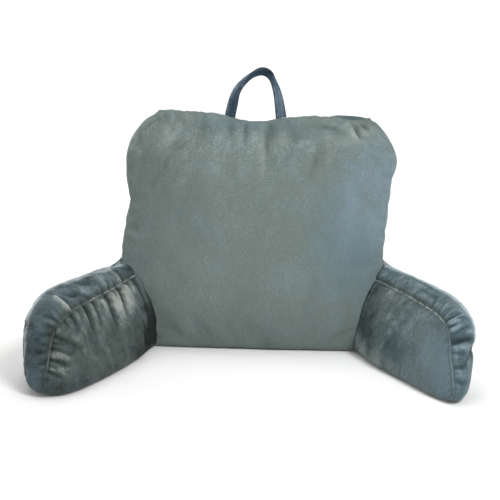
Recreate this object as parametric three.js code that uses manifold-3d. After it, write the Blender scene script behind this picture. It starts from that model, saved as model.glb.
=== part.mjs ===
import * as THREE from "three";
import { mergeVertices } from "three/addons/utils/BufferGeometryUtils.js";
import Module from "manifold-3d";

// A bed backrest pillow in plush velvet: a filled back cushion, two filled arms sewn to its lower sides and
// a carrying strap in its top seam. Millimetres, +Z up. The sitter faces -Y, and left is the side at -X.
// The origin is the middle of the back cushion's flat base, on the surface that the pillow stands on.

const wasm = await Module();
wasm.setup();

// Driving sizes

// Clearance between pieces that are sewn together.
const SEWN_GAP = 0.4;

const BACK = {
  frontFoot: -86, // where the front panel's bottom seam stands, along y
  rearFoot: 68,
  frontLean: 13.8, // degrees back from upright
  rearLean: 5.5,
  seamLift: 1.5, // height of the bottom seams above the floor
  earLeft: 409, // height of the top seam at each corner
  earRight: 405,
  rearDrop: 26, // how much lower the rear panel's top seam is
  topSag: 13, // dip of the top seam between the strap's legs
  sagCentre: -0.05,
  sagReach: 0.3,
  crownFront: 46, // how far the filling swells each panel
  crownRear: 34,
  crownPower: 1.1,
  slump: 0.16, // how far the filling has sunk below the middle
  sideBulge: 5,
  topBulge: 4,
  bottomBulge: 10,
  steps: { across: 28, through: 6, up: 22 },
};

// The side seams' distance from the middle at each height: drawn in above the arms, full at the shoulders.
const BACK_SIDES = [
  { height: 0, left: 228, right: 220 },
  { height: 80, left: 236, right: 226 },
  { height: 167, left: 237, right: 222 },
  { height: 210, left: 231, right: 225 },
  { height: 253, left: 225, right: 229 },
  { height: 295, left: 231, right: 234 },
  { height: 326, left: 231, right: 240 },
  { height: 349, left: 225, right: 233 },
  { height: 372, left: 212, right: 220 },
  { height: 391, left: 197, right: 205 },
  { height: 407, left: 177, right: 187 },
];

// Each arm's seams from the back cushion (along 0) to the front end (along 1), x counted from the middle:
// the inner seam beside the top gusset, the inner panel's foot, the outer seam and the gusset's dome.
const ARM_SEAMS = {
  left: [
    { along: 0, innerX: 155, innerY: 10, innerTop: 132, footX: 132, footY: 0,
      outerX: 215, outerY: 45, outerTop: 178, dome: 14 },
    { along: 0.25, innerX: 205, innerY: -66, innerTop: 130, footX: 178, footY: -92,
      outerX: 256, outerY: -38, outerTop: 137, dome: 12 },
    { along: 0.5, innerX: 244, innerY: -158, innerTop: 123, footX: 203, footY: -174,
      outerX: 303, outerY: -122, outerTop: 130, dome: 15 },
    { along: 0.75, innerX: 283, innerY: -242, innerTop: 117, footX: 250, footY: -278,
      outerX: 345, outerY: -202, outerTop: 126, dome: 18 },
    { along: 0.9, innerX: 301, innerY: -292, innerTop: 114, footX: 287, footY: -338,
      outerX: 360, outerY: -252, outerTop: 118, dome: 20 },
    { along: 1, innerX: 311, innerY: -320, innerTop: 110, footX: 320, footY: -358,
      outerX: 363, outerY: -288, outerTop: 110, dome: 20 },
  ],
  right: [
    { along: 0, innerX: 150, innerY: 10, innerTop: 132, footX: 130, footY: 0,
      outerX: 205, outerY: 45, outerTop: 170, dome: 12 },
    { along: 0.25, innerX: 207, innerY: -66, innerTop: 130, footX: 181, footY: -94,
      outerX: 248, outerY: -40, outerTop: 143, dome: 12 },
    { along: 0.5, innerX: 248, innerY: -145, innerTop: 127, footX: 209, footY: -168,
      outerX: 291, outerY: -116, outerTop: 137, dome: 15 },
    { along: 0.75, innerX: 281, innerY: -220, innerTop: 122, footX: 250, footY: -244,
      outerX: 330, outerY: -190, outerTop: 130, dome: 16 },
    { along: 0.9, innerX: 294, innerY: -264, innerTop: 120, footX: 283, footY: -308,
      outerX: 344, outerY: -232, outerTop: 122, dome: 16 },
    { along: 1, innerX: 300, innerY: -290, innerTop: 118, footX: 308, footY: -342,
      outerX: 351, outerY: -260, outerTop: 114, dome: 16 },
  ],
};

const ARM = {
  seamLift: 1.5,
  innerCrown: 20,
  outerCrown: 12,
  crownPower: 1.3,
  frontDome: 18,
  domePower: 1.5, // how narrow the gusset's dome is between its seams
  endPower: 3, // how late along the arm the front end's shape sets in
  cornerPower: 5,
  bottomBulge: 10,
  cornerPull: 10, // how far back the front end's corners are drawn
  cornerReach: 6, // the larger, the nearer to the corners that stays
  innerTuck: 0.2, // share of a gusset tuck that reaches the inner seam
  outerTuck: 0.6,
  foldRound: 0.3, // the smaller, the nearer to the panel's seams the folds stay deep
  length: 340, // the scale of the folds' places
  height: 125,
  width: 60,
  steps: { across: 8, along: 40, up: 12 },
};

// How far the outer panel's foot stands wider than its top and the front end's corners are rounded off.
const ARM_ENDS = {
  left: { spread: 3, top: 14, bottom: 10, outerBottom: 32 },
  right: { spread: -3, top: 7, bottom: 8, outerBottom: 26 },
};

// Gathers in the inner panels: each trough runs down from the top seam (up 1) and fades out.
const PANEL_FOLDS = {
  left: [
    { along: 0.27, up: 0.97, toAlong: 0.26, toUp: 0.4, width: 6, depth: 3.5 },
    { along: 0.36, up: 0.97, toAlong: 0.36, toUp: 0.45, width: 6, depth: 5 },
    { along: 0.45, up: 0.97, toAlong: 0.44, toUp: 0.35, width: 7, depth: 5 },
    { along: 0.56, up: 0.97, toAlong: 0.52, toUp: 0.35, width: 7, depth: 5 },
    { along: 0.66, up: 0.97, toAlong: 0.6, toUp: 0.4, width: 7, depth: 4 },
    { along: 0.97, up: 0.62, toAlong: 0.8, toUp: 0.42, width: 7, depth: 4 },
    { along: 0.98, up: 0.42, toAlong: 0.82, toUp: 0.3, width: 7, depth: 4 },
  ],
  right: [
    { along: 0.3, up: 0.95, toAlong: 0.42, toUp: 0.45, width: 10, depth: 3 },
    { along: 0.2, up: 0.5, toAlong: 0.5, toUp: 0.3, width: 12, depth: 3 },
  ],
};

// Tucks across the gussets. round is 0 to 1 from the back to the front end, then 1 to 2 down the front end;
// aside is 0 at the inner seam and 1 at the outer one.
const GUSSET_FOLDS = {
  left: [
    { round: 0.36, aside: 0.02, toRound: 0.31, toAside: 0.7, width: 6, depth: 4 },
    { round: 0.74, aside: 0.02, toRound: 0.7, toAside: 0.6, width: 6, depth: 4 },
    { round: 1.02, aside: 0.02, toRound: 0.95, toAside: 0.8, width: 8, depth: 5 },
    { round: 1.1, aside: 1.2, toRound: 1.12, toAside: 0.6, width: 7, depth: 4 },
  ],
  right: [
    { round: 1.36, aside: 1.3, toRound: 1.38, toAside: 0.1, width: 8, depth: 7 },
    { round: 1.12, aside: 0.05, toRound: 1.08, toAside: 0.8, width: 6, depth: 4 },
    { round: 1.6, aside: 0.05, toRound: 1.62, toAside: 0.7, width: 7, depth: 4 },
  ],
};

const STRAP = {
  thickness: 5,
  edge: 0.4, // share of the thickness that is left at its folded edges
  setBack: 7, // how far behind the front panel's top seam its ends are sewn in
  lean: 8, // degrees back from upright
  steps: { across: 4, through: 2, along: 40 },
};

// The strap's middle line and width, from the left end over the top to the right end.
const STRAP_LINE = [
  { along: 0, x: -57, height: 386, width: 20 },
  { along: 0.14, x: -50, height: 423, width: 19 },
  { along: 0.26, x: -43, height: 447, width: 15 },
  { along: 0.38, x: -29, height: 465, width: 12 },
  { along: 0.46, x: -16, height: 475, width: 11 },
  { along: 0.54, x: 0, height: 482, width: 15 },
  { along: 0.62, x: 13, height: 478, width: 15 },
  { along: 0.7, x: 21, height: 467, width: 12 },
  { along: 0.8, x: 29, height: 447, width: 15 },
  { along: 0.9, x: 34, height: 425, width: 18 },
  { along: 1, x: 40, height: 386, width: 21 },
];

// Finishes

function velvet(name, color) {
  return new THREE.MeshStandardMaterial({ name, color, roughness: 0.85 });
}

const backVelvet = velvet("back_velvet", "#7b8480");
const armVelvet = velvet("arm_velvet", "#5c6968");
const strapVelvet = velvet("strap_velvet", "#4f5f6b");

// Shape helpers

const mix = THREE.MathUtils.lerp;
const slope = (degrees) => Math.tan(THREE.MathUtils.degToRad(degrees));
const eased = (t) => Math.sin((t * Math.PI) / 2);
const arched = (t) => Math.max(0, Math.cos((t * Math.PI) / 2));

// The short step along a curve that its direction is taken from.
const NEARLY = 0.004;

// A smooth curve through one column of a table, as a function of its key column.
function column(rows, key, name) {
  const x = rows.map((row) => row[key]);
  const y = rows.map((row) => row[name]);
  const last = rows.length - 1;
  const rise = (i, j) => (y[j] - y[i]) / (x[j] - x[i]);
  const slopes = x.map((_, i) => rise(Math.max(0, i - 1), Math.min(last, i + 1)));
  return (at) => {
    const t = THREE.MathUtils.clamp(at, x[0], x[last]);
    let i = 0;
    while (i < last - 1 && t > x[i + 1]) i += 1;
    const span = x[i + 1] - x[i];
    const s = (t - x[i]) / span;
    const bend = s * s * (3 - 2 * s);
    const hermite = s * (1 - s) * (slopes[i] * (1 - s) - slopes[i + 1] * s) * span;
    return mix(y[i], y[i + 1], bend) + hermite;
  };
}

// A closed skin: the surface of a cube from -1 to 1, cut into steps, with each point moved to its place.
function skin(steps, place) {
  const box = new THREE.BoxGeometry(2, 2, 2, ...steps);
  box.deleteAttribute("normal");
  box.deleteAttribute("uv");
  const geometry = mergeVertices(box);
  const position = geometry.attributes.position;
  for (let i = 0; i < position.count; i += 1) {
    position.setXYZ(i, ...place(position.getX(i), position.getY(i), position.getZ(i)));
  }
  geometry.computeVertexNormals();
  return geometry;
}

// The same skin, every point moved outward by a distance.
function grown(geometry, distance) {
  const bigger = geometry.clone();
  const { position, normal } = bigger.attributes;
  const point = new THREE.Vector3();
  const out = new THREE.Vector3();
  for (let i = 0; i < position.count; i += 1) {
    point.fromBufferAttribute(position, i);
    out.fromBufferAttribute(normal, i);
    point.addScaledVector(out, distance);
    position.setXYZ(i, ...point);
  }
  return bigger;
}

function solid(geometry) {
  return new wasm.Manifold(
    new wasm.Mesh({
      numProp: 3,
      vertProperties: geometry.attributes.position.array,
      triVerts: new Uint32Array(geometry.index.array),
    }),
  );
}

function geometryOf(body) {
  const { vertProperties, triVerts } = body.getMesh();
  const geometry = new THREE.BufferGeometry();
  geometry.setAttribute("position", new THREE.BufferAttribute(vertProperties, 3));
  geometry.setIndex(new THREE.BufferAttribute(triVerts, 1));
  geometry.computeVertexNormals();
  return geometry;
}

// Back cushion

const backLeft = column(BACK_SIDES, "height", "left");
const backRight = column(BACK_SIDES, "height", "right");

function topSeam(across) {
  const sag = Math.exp(-(((across - BACK.sagCentre) / BACK.sagReach) ** 2));
  return mix(BACK.earLeft, BACK.earRight, (1 + across) / 2) - BACK.topSag * sag;
}

// The two panels lie on leaning planes and swell between their seams; the band round them bulges outward.
function backPoint(x, y, z) {
  const across = eased(x);
  const up = (1 + eased(z)) / 2;
  const through = (1 + eased(y)) / 2;
  const seamHeight = mix(BACK.seamLift, topSeam(across) - BACK.rearDrop * through, up);
  const half = across < 0 ? backLeft(seamHeight) : backRight(seamHeight);
  const band = arched(y);
  const bulge = z < 0 ? BACK.bottomBulge * (1 - arched(z)) : BACK.topBulge;
  const height = Math.max(0, seamHeight + bulge * band * eased(z));
  const front = BACK.frontFoot + slope(BACK.frontLean) * seamHeight;
  const rear = BACK.rearFoot + slope(BACK.rearLean) * seamHeight;
  const sunk = z + BACK.slump * (1 - z * z);
  const swell = (arched(x) * arched(sunk)) ** BACK.crownPower;
  const crown = swell * (y < 0 ? -BACK.crownFront : BACK.crownRear);
  return [across * (half + BACK.sideBulge * band), mix(front, rear, through) + crown, height];
}

const backGeometry = skin([BACK.steps.across, BACK.steps.through, BACK.steps.up], backPoint);
const backCutter = solid(grown(backGeometry, SEWN_GAP));

// Arms

// How deep a table's folds are at a point: each is a trough round a straight line and fades to its end.
function foldDepth(rows, u, v, start, end) {
  const depths = rows.map((row) => {
    const from = start(row);
    const run = end(row).sub(from);
    const offset = new THREE.Vector2(u, v).sub(from);
    const t = THREE.MathUtils.clamp(offset.dot(run) / run.lengthSq(), 0, 1);
    const away = offset.addScaledVector(run, -t).length();
    return row.depth * (1 - t * t) * Math.exp(-((away / row.width) ** 2));
  });
  return depths.reduce((sum, depth) => sum + depth, 0);
}

function panelFolds(rows, along, up) {
  const start = (row) => new THREE.Vector2(row.along * ARM.length, row.up * ARM.height);
  const end = (row) => new THREE.Vector2(row.toAlong * ARM.length, row.toUp * ARM.height);
  return foldDepth(rows, along * ARM.length, up * ARM.height, start, end);
}

function gussetFolds(rows, along, up, outward) {
  const reach = (round) => Math.min(round, 1) * ARM.length + Math.max(0, round - 1) * ARM.height;
  const start = (row) => new THREE.Vector2(reach(row.round), row.aside * ARM.width);
  const end = (row) => new THREE.Vector2(reach(row.toRound), row.toAside * ARM.width);
  return foldDepth(rows, reach(along + 1 - up), outward * ARM.width, start, end);
}

// The inner and outer panels stand on their seam lines and swell, the gusset domes over the top and down the
// front end, and the rear end runs into the back cushion, which is cut out of it.
function armGeometry(name, side) {
  const rows = ARM_SEAMS[name];
  const ends = ARM_ENDS[name];
  const columns = Object.keys(rows[0]).slice(1);
  const seam = Object.fromEntries(columns.map((title) => [title, column(rows, "along", title)]));

  function plan(along, outward, up) {
    const x = mix(seam.footX(along), seam.innerX(along), up);
    const y = mix(seam.footY(along), seam.innerY(along), up);
    const wide = seam.outerX(along) + ends.spread * (1 - up);
    return new THREE.Vector2(mix(x, wide, outward), mix(y, seam.outerY(along), outward));
  }

  function armPoint(x, y, z) {
    const outward = (1 + eased(side * x)) / 2;
    const isOuter = outward > 0.5;
    const along = (1 - eased(y)) / 2;
    const up = (1 + eased(z)) / 2;
    const atFront = Math.max(0, -eased(y));
    const atEnd = atFront ** ARM.endPower;
    const atCorner = atFront ** ARM.cornerPower;
    const dome = arched(x) ** ARM.domePower;
    const swell = (isOuter ? ARM.outerCrown : -ARM.innerCrown) * (arched(y) * arched(z)) ** ARM.crownPower;
    const onPanel = (isOuter ? 0 : 1 - dome) * arched(y) * arched(z) ** ARM.foldRound;
    const fold = onPanel * panelFolds(PANEL_FOLDS[name], along, up);
    const onGusset = Math.min(1, dome + (isOuter ? ARM.outerTuck : ARM.innerTuck));
    const tuck = onGusset * gussetFolds(GUSSET_FOLDS[name], along, up, outward);
    const ahead = plan(Math.min(1, along + NEARLY), outward, up);
    ahead.sub(plan(Math.max(0, along - NEARLY), outward, up)).normalize();
    const pulled = ARM.cornerPull * Math.abs(eased(z)) ** ARM.cornerReach * atCorner;
    const place = plan(along, outward, up);
    place.addScaledVector(ahead, (ARM.frontDome * dome - tuck) * atEnd - pulled);
    const aside = swell + fold - (isOuter ? tuck * atEnd * eased(side * x) : 0);
    place.x -= ahead.y * aside;
    place.y += ahead.x * aside;
    const top = mix(seam.innerTop(along), seam.outerTop(along), outward) - ends.top * atCorner;
    const low = ARM.seamLift + mix(ends.bottom, ends.outerBottom, outward) * atCorner;
    const bulge = z > 0 ? seam.dome(along) * dome - tuck : ARM.bottomBulge * dome;
    return [side * place.x, place.y, Math.max(0, mix(low, top, up) + bulge * eased(z))];
  }

  const whole = solid(skin([ARM.steps.across, ARM.steps.along, ARM.steps.up], armPoint));
  return geometryOf(whole.subtract(backCutter));
}

// Strap

const strapX = column(STRAP_LINE, "along", "x");
const strapHeight = column(STRAP_LINE, "along", "height");
const strapWidth = column(STRAP_LINE, "along", "width");

// The strap's cross-section is thin at its edges, and its line stands on a plane that leans back.
function strapPoint(x, y, z) {
  const along = (1 + z) / 2;
  const before = Math.max(0, along - NEARLY);
  const after = Math.min(1, along + NEARLY);
  const dx = strapX(after) - strapX(before);
  const dz = strapHeight(after) - strapHeight(before);
  const length = Math.hypot(dx, dz);
  const side = (eased(x) * strapWidth(along)) / 2;
  const height = strapHeight(along) - (side * dx) / length;
  const foot = BACK.frontFoot + slope(BACK.frontLean) * BACK.earLeft + STRAP.setBack;
  const thickness = STRAP.thickness * mix(STRAP.edge, 1, arched(x));
  const depth = foot + slope(STRAP.lean) * (height - BACK.earLeft) + (y * thickness) / 2;
  return [strapX(along) + (side * dz) / length, depth, height];
}

// Whole pillow

function piece(name, geometry, material) {
  const mesh = new THREE.Mesh(geometry, material);
  mesh.name = name;
  return mesh;
}

const strapSteps = [STRAP.steps.across, STRAP.steps.through, STRAP.steps.along];
const strapBody = solid(skin(strapSteps, strapPoint)).subtract(backCutter);

const pillow = new THREE.Group();
pillow.name = "backrest_pillow";
pillow.add(
  piece("back_cushion", backGeometry, backVelvet),
  piece("arm_left", armGeometry("left", -1), armVelvet),
  piece("arm_right", armGeometry("right", 1), armVelvet),
  piece("handle", geometryOf(strapBody), strapVelvet),
);

export default pillow;
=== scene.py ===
"""Looks of a plush velvet backrest pillow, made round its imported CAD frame.

The pillow is a stuffed back cushion, two stuffed arms sewn to its lower sides and a carrying strap in its
top seam. Lengths in the tables are millimetres and the meshes are metres. The sitter faces -Y, +Z is up, and
left is the side at -X. Each stuffed piece starts as the skin of a cube whose points are moved to their
places by a formula, gets its seams, gathers and creases as relief along its normals, and is then filled by a
short cloth simulation.
"""

import logging
import math
from collections.abc import Callable, Iterable, Sequence
from dataclasses import dataclass, field, replace
from enum import Enum
from typing import Any

import bpy
import numpy as np
from mathutils import Matrix, Vector

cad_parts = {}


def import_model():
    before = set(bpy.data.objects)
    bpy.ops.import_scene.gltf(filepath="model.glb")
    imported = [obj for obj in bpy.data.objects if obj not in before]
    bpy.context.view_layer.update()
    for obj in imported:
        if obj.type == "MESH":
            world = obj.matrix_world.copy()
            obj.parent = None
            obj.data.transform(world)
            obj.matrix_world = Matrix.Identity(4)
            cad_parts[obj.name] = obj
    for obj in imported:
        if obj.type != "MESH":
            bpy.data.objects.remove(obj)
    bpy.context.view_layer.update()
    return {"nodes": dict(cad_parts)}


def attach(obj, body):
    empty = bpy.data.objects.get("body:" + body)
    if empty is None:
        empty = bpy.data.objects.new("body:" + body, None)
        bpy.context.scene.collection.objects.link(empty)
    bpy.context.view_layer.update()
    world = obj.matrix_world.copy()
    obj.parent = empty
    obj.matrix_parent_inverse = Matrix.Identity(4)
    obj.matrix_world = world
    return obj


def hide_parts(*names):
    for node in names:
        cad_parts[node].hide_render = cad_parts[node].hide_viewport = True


MM = 0.001
BODY = "root"
# Clearance between the back cushion and what is sewn to it, in metres, as in the CAD.
SEWN_GAP = 0.4 * MM

log = logging.getLogger("backrest_pillow")


class Side(Enum):
    """Which side of the sitter's middle an arm is on, as its sign along X."""

    LEFT = -1
    RIGHT = 1


class Fade(Enum):
    """How a fold's depth runs along it."""

    FROM_SEAM = "deepest at its start"
    BOTH_ENDS = "deepest at its middle"


# Numbers and curves


def mix(a: Any, b: Any, t: Any) -> Any:
    """Straight blend from a at t = 0 to b at t = 1."""
    return a + (b - a) * t


def slope(degrees: float) -> float:
    """Run for each unit of rise on a line that leans by that angle."""
    return math.tan(math.radians(degrees))


def arch(place: np.ndarray) -> np.ndarray:
    """Half circle over -1 to 1: one in the middle and zero at both ends."""
    return np.sqrt(np.clip(1 - place**2, 0, 1))


def bell(distance: np.ndarray, reach: float) -> np.ndarray:
    """Bell curve: one at distance zero, and about a third at its reach."""
    return np.exp(-((distance / reach) ** 2))


def linear(colour: str) -> tuple[float, float, float, float]:
    """Turns an sRGB hex colour into linear light.

    Args:
        colour: The colour as six hex digits after a hash.

    Returns:
        Red, green, blue and an alpha of one.
    """
    parts = [int(colour[i : i + 2], 16) / 255 for i in (1, 3, 5)]
    light = [c / 12.92 if c <= 0.04045 else ((c + 0.055) / 1.055) ** 2.4 for c in parts]
    return (*light, 1.0)


@dataclass(frozen=True)
class Row:
    """A row of a table: its place along the curve and its named values."""

    at: float
    values: dict[str, float]


def curve(rows: Sequence[Row], name: str) -> Callable[[np.ndarray], np.ndarray]:
    """Smooth curve through one column of a table.

    Each stretch is a cubic whose end slopes are those of the chords over the rows next to it.

    Args:
        rows: The table, in order of place.
        name: The column.

    Returns:
        A function of place that works on whole arrays and holds its end values beyond the table.
    """
    x = np.array([row.at for row in rows])
    y = np.array([row.values[name] for row in rows])
    before = np.maximum(np.arange(len(x)) - 1, 0)
    after = np.minimum(np.arange(len(x)) + 1, len(x) - 1)
    rise = (y[after] - y[before]) / (x[after] - x[before])

    def at(place: np.ndarray) -> np.ndarray:
        """Finds the column's values.

        Args:
            place: Places along the curve.

        Returns:
            The value at each of them.
        """
        t = np.clip(place, x[0], x[-1])
        i = np.clip(np.searchsorted(x, t, side="right") - 1, 0, len(x) - 2)
        span = x[i + 1] - x[i]
        s = (t - x[i]) / span
        bend = s * s * (3 - 2 * s)
        return mix(y[i], y[i + 1], bend) + s * (1 - s) * (rise[i] * (1 - s) - rise[i + 1] * s) * span

    return at


def rows(titles: str, *lines: Sequence[float]) -> tuple[Row, ...]:
    """Builds a table from its column titles, the first of which is the place, and its lines."""
    names = titles.split()[1:]
    return tuple(Row(line[0], dict(zip(names, line[1:]))) for line in lines)


# Meshes


def smooth_piece(
    name: str, points: np.ndarray, faces: list[list[int]], marks: dict[str, np.ndarray]
) -> bpy.types.Object:
    """Makes a smooth mesh object at the origin.

    Args:
        name: Name of the object and of its mesh.
        points: Its points in metres, one row each.
        faces: Corner numbers of each face, outward.
        marks: Values at the points that the material reads, by attribute name.

    Returns:
        The object, linked to the scene.
    """
    mesh = bpy.data.meshes.new(name)
    mesh.from_pydata(points.tolist(), [], faces)
    for title, values in marks.items():
        mark = mesh.attributes.new(title, "FLOAT", "POINT")
        mark.data.foreach_set("value", values.astype(np.float32))
    mesh.polygons.foreach_set("use_smooth", np.ones(len(mesh.polygons), bool))
    mesh.update()
    piece = bpy.data.objects.new(name, mesh)
    bpy.context.scene.collection.objects.link(piece)
    return piece


def ring_quads(rings: int, around: int) -> list[list[int]]:
    """Quads between rings of points, where each ring's points follow those of the ring before.

    Args:
        rings: Number of rings.
        around: Number of points in each ring.

    Returns:
        Corner numbers of each quad.
    """
    here = np.arange(around)
    after = (here + 1) % around
    start = np.arange(rings - 1)[:, None] * around
    corners = [start + here, start + around + here, start + around + after, start + after]
    return np.stack(corners, axis=-1).reshape(-1, 4).tolist()


@dataclass
class Skin:
    """Closed skin of quads.

    Attributes:
        cube: Each point's place on the cube's surface, from -1 to 1 along each axis.
        quads: Corner numbers of each face, outward.
        points: Each point's place on the piece, in metres.
    """

    cube: np.ndarray
    quads: np.ndarray
    points: np.ndarray = field(default_factory=lambda: np.zeros((0, 3)))

    def normals(self) -> np.ndarray:
        """Finds unit normals: the cross product of each face's diagonals, summed at its corners.

        Returns:
            The normal at each point.
        """
        a, b, c, d = (self.points[self.quads[:, i]] for i in range(4))
        facing = np.cross(c - a, d - b)
        total = np.zeros_like(self.points)
        for i in range(4):
            np.add.at(total, self.quads[:, i], facing)
        return total / np.maximum(np.linalg.norm(total, axis=1, keepdims=True), 1e-12)

    def raise_by(self, relief: np.ndarray) -> None:
        """Moves every point along its normal by a relief in metres."""
        self.points = self.points + self.normals() * relief[:, None]

    def make(self, name: str, marks: dict[str, np.ndarray]) -> bpy.types.Object:
        """Makes the skin's object, with the marks that its material reads."""
        return smooth_piece(name, self.points, self.quads.tolist(), marks)


def cube_skin(across: int, through: int, up: int, edge_share: float = 0.25) -> Skin:
    """Skin of a cube from -1 to 1, with its cells closer together near the edges.

    A step t is placed at a blend of t and the sine of a quarter turn times t.

    Args:
        across: Cells along X.
        through: Cells along Y.
        up: Cells along Z.
        edge_share: Size of the cells at an edge, as a share of equal cells.

    Returns:
        The skin, whose points aren't placed yet.
    """
    counts = np.array([across, through, up])
    sheets = []
    for axis in range(3):
        u_axis, v_axis = (axis + 1) % 3, (axis + 2) % 3
        u, v = np.meshgrid(np.arange(counts[u_axis] + 1), np.arange(counts[v_axis] + 1), indexing="ij")
        for far in (0, 1):
            node = np.zeros((*u.shape, 3), int)
            node[..., u_axis] = u
            node[..., v_axis] = v
            node[..., axis] = far * counts[axis]
            corners = [node[:-1, :-1], node[1:, :-1], node[1:, 1:], node[:-1, 1:]]
            sheet = np.stack(corners if far else corners[::-1], axis=2)
            sheets.append(sheet.reshape(-1, 4, 3))
    places = np.concatenate(sheets)
    keys = np.ravel_multi_index(tuple(places.reshape(-1, 3).T), tuple(counts + 1))
    kept, quads = np.unique(keys, return_inverse=True)
    steps = np.stack(np.unravel_index(kept, tuple(counts + 1)), axis=1) * 2 / counts - 1
    cube = mix(np.sin(steps * math.pi / 2), steps, edge_share)
    return Skin(cube, quads.reshape(-1, 4))


def from_line(
    start: tuple[float, float], end: tuple[float, float], u: np.ndarray, v: np.ndarray
) -> tuple[np.ndarray, np.ndarray, np.ndarray]:
    """Measures places on a panel from a straight line.

    Args:
        start: Where the line starts, in millimetres.
        end: Where it ends.
        u: First coordinate of the places, in millimetres.
        v: Second coordinate.

    Returns:
        For each place, the share of the line at its nearest point, how far past the line's ends it is, and
        how far to the line's right, with u to the right and v up.
    """
    run = np.subtract(end, start)
    length = math.sqrt(run @ run)
    du, dv = u - start[0], v - start[1]
    share = (du * run[0] + dv * run[1]) / (run @ run)
    inside = np.clip(share, 0, 1)
    return inside, (share - inside) * length, (du * run[1] - dv * run[0]) / length


@dataclass(frozen=True)
class Fold:
    """One gather, tuck or crease: a trough along a straight line on a panel, with a roll of cloth beside it.

    Attributes:
        start: Where it starts on the panel, in millimetres.
        end: Where it ends.
        width: Reach of the trough to either side, in millimetres.
        depth: Depth of the trough, in millimetres.
        roll: Height of the roll on its right, as a share of the depth; below zero it's on its left.
        fade: How the depth runs along it.
        crest: Where the roll is highest, in widths.
    """

    start: tuple[float, float]
    end: tuple[float, float]
    width: float
    depth: float
    roll: float = 0.5
    fade: Fade = Fade.FROM_SEAM
    crest: float = 1.5

    def relief(self, u: np.ndarray, v: np.ndarray) -> np.ndarray:
        """Height of the cloth, in millimetres, at places on the panel.

        With the nearest point of the line at share t, the depth is one less the square of t, or four times t
        times 1 - t. Across the line it is a bell curve for the trough, and beside it q times e to the power
        of 1 - q for the roll, which rises fast and runs out slowly, with q the distance as a share of that
        to the crest.

        Args:
            u: First coordinate of the places, in millimetres.
            v: Second coordinate.

        Returns:
            The relief, below zero in the trough.
        """
        t, over, aside = from_line(self.start, self.end, u, v)
        along = 1 - t**2 if self.fade is Fade.FROM_SEAM else 4 * t * (1 - t)
        trough = bell(aside, self.width)
        beside = np.maximum(0, math.copysign(1, self.roll) * aside) / (self.crest * self.width)
        roll = abs(self.roll) * beside * np.exp(1 - beside)
        return self.depth * along * bell(over, self.width) * (roll - trough)


@dataclass(frozen=True)
class Lap:
    """One tuck whose cloth laps over a straight line: a step up at the line that runs out behind it.

    Attributes:
        start: Where the line starts on the panel, in millimetres.
        end: Where it ends; the lapped cloth is on its right.
        height: Height of the step in millimetres.
        run: How far behind the line the lapped cloth falls to about a third, in millimetres.
        step: Width of the step in millimetres.
        end_reach: How far past its ends the line fades out, in millimetres.
    """

    start: tuple[float, float]
    end: tuple[float, float]
    height: float
    run: float
    step: float = 1.5
    end_reach: float = 4

    def relief(self, u: np.ndarray, v: np.ndarray) -> np.ndarray:
        """Height of the cloth, in millimetres, at places on the panel.

        It rises straight across the step and then falls by e to the power of minus the distance over the
        run, all times a bell curve past the line's ends.

        Args:
            u: First coordinate of the places, in millimetres.
            v: Second coordinate.

        Returns:
            The relief, zero before the line.
        """
        _, over, behind = from_line(self.start, self.end, u, v)
        rising = np.clip(behind / self.step + 0.5, 0, 1)
        falling = np.exp(-np.maximum(behind, 0) / self.run)
        return self.height * rising * falling * bell(over, self.end_reach)


def folded(folds: Iterable[Fold | Lap], u: np.ndarray, v: np.ndarray) -> np.ndarray:
    """Sum of the folds' relief at places on a panel, in millimetres."""
    return sum((fold.relief(u, v) for fold in folds), np.zeros_like(u))


@dataclass(frozen=True)
class Brushed:
    """A patch of the pile that is brushed one way: a soft oval on a panel.

    Attributes:
        middle: Its middle on the panel, in millimetres.
        reach: Its reach along both coordinates, in millimetres.
        amount: How much paler it is, or darker below zero.
        turn: How far it is turned, in degrees.
    """

    middle: tuple[float, float]
    reach: tuple[float, float]
    amount: float
    turn: float = 0.0


# How far the directions of hand strokes scatter, in degrees.
STROKE_SCATTER = 22


def hand_strokes(area: Brushed, count: int, stroke: tuple[float, float], seed: int) -> tuple[Brushed, ...]:
    """Strokes that hands left in the pile: small turned ovals strewn over an area, some pale and some dark.

    Args:
        area: Where they are; its amount is their usual strength and its turn their usual direction.
        count: Number of strokes.
        stroke: Usual reach along and across a stroke, in millimetres.
        seed: Seed of their places, sizes, directions and strengths.

    Returns:
        The strokes, half to one and a half times as large as usual.
    """
    chance = np.random.default_rng(seed)
    places = area.middle + chance.uniform(-1, 1, (count, 2)) * area.reach
    sizes = np.array(stroke) * chance.uniform(0.5, 1.5, (count, 1))
    turns = area.turn + chance.normal(0, STROKE_SCATTER, count)
    amounts = area.amount * chance.normal(0, 1, count)
    table = zip(places.tolist(), sizes.tolist(), amounts.tolist(), turns.tolist())
    return tuple(Brushed(tuple(place), tuple(size), amount, turn) for place, size, amount, turn in table)


def brushed(patches: Iterable[Brushed], u: np.ndarray, v: np.ndarray) -> np.ndarray:
    """Sums patches of brushed pile, each a bell curve along both of its turned coordinates.

    Args:
        patches: The patches.
        u: First coordinate of the places, in millimetres.
        v: Second coordinate.

    Returns:
        How much paler each place is, or darker below zero.
    """
    total = np.zeros_like(u)
    for patch in patches:
        c, s = math.cos(math.radians(patch.turn)), math.sin(math.radians(patch.turn))
        du, dv = u - patch.middle[0], v - patch.middle[1]
        total += patch.amount * bell(du * c + dv * s, patch.reach[0]) * bell(dv * c - du * s, patch.reach[1])
    return total


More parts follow.
